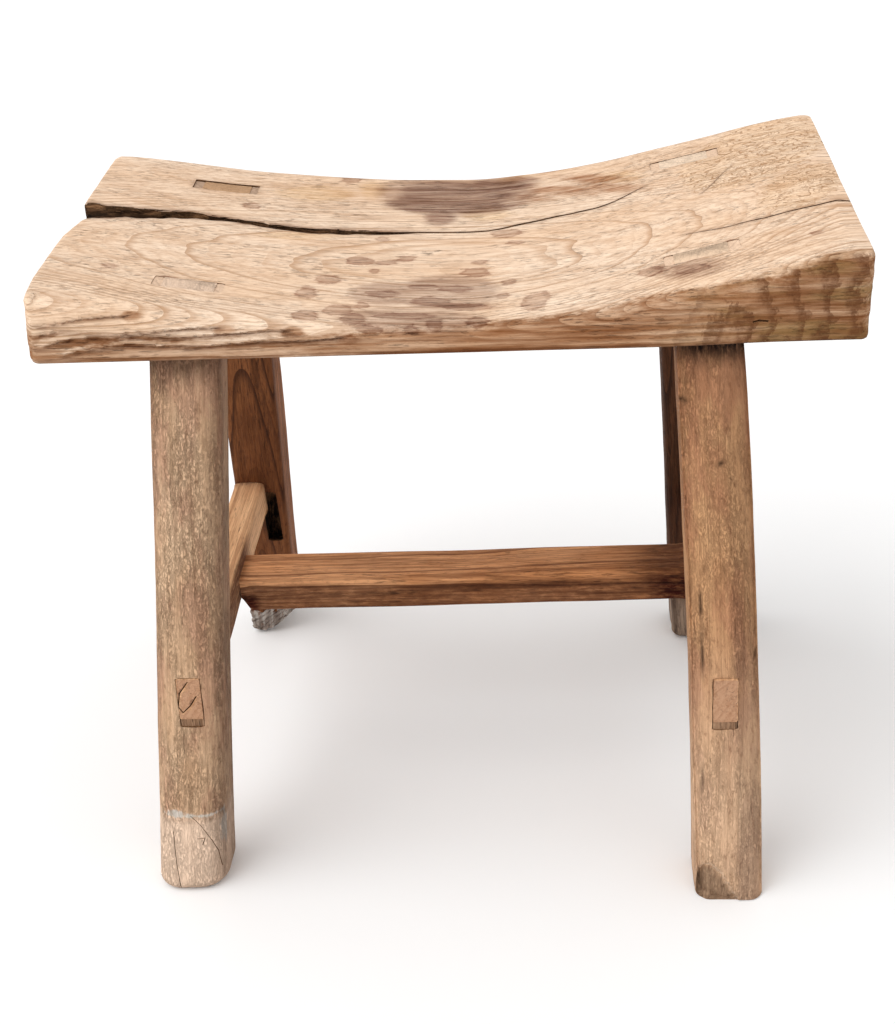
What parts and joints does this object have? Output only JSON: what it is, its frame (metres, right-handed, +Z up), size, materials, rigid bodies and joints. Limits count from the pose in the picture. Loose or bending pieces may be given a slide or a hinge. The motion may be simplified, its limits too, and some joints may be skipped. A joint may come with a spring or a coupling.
{
  "type": "wooden stool",
  "caption": "Low country stool with a thick saddle-shaped seat board, splayed legs tenoned through the seat, and stretchers joined in an H, all wedged.",
  "frame": {"origin": "on the floor, under the middle of the seat", "axes": "+X along the seat to its thicker end, +Y from the front to the back, +Z up"},
  "size_m": [0.5, 0.3712, 0.4433],
  "materials": {
    "seat_wood": "bare weathered elm, bleached, open grain, stained and cracked",
    "front_leg_wood": "bare hewn elm, worn smooth, mottled tan",
    "back_leg_wood": "bare hewn elm, darker brown with bold grain",
    "end_stretcher_wood": "bare planed elm, golden tan, worn edges",
    "long_stretcher_wood": "bare planed elm, reddish brown with dark grain lines",
    "wedge_wood": "end grain, dirty and worn flush"
  },
  "bodies": {
    "root": {"seat": "seat_wood", "leg_front_left": "front_leg_wood", "leg_front_right": "front_leg_wood", "leg_back_left": "back_leg_wood", "leg_back_right": "back_leg_wood", "end_stretcher_left": "end_stretcher_wood", "end_stretcher_right": "end_stretcher_wood", "long_stretcher": "long_stretcher_wood", "seat_wedge_front_left_outer": "wedge_wood", "seat_wedge_front_left_inner": "wedge_wood", "seat_wedge_front_right_outer": "wedge_wood", "seat_wedge_front_right_inner": "wedge_wood", "seat_wedge_back_left_outer": "wedge_wood", "seat_wedge_back_left_inner": "wedge_wood", "seat_wedge_back_right_outer": "wedge_wood", "seat_wedge_back_right_inner": "wedge_wood", "rail_wedge_front_left": "wedge_wood", "rail_wedge_front_right": "wedge_wood", "rail_wedge_back_left": "wedge_wood", "rail_wedge_back_right": "wedge_wood", "long_wedge_left": "wedge_wood", "long_wedge_right": "wedge_wood"}
  },
  "joints": []
}
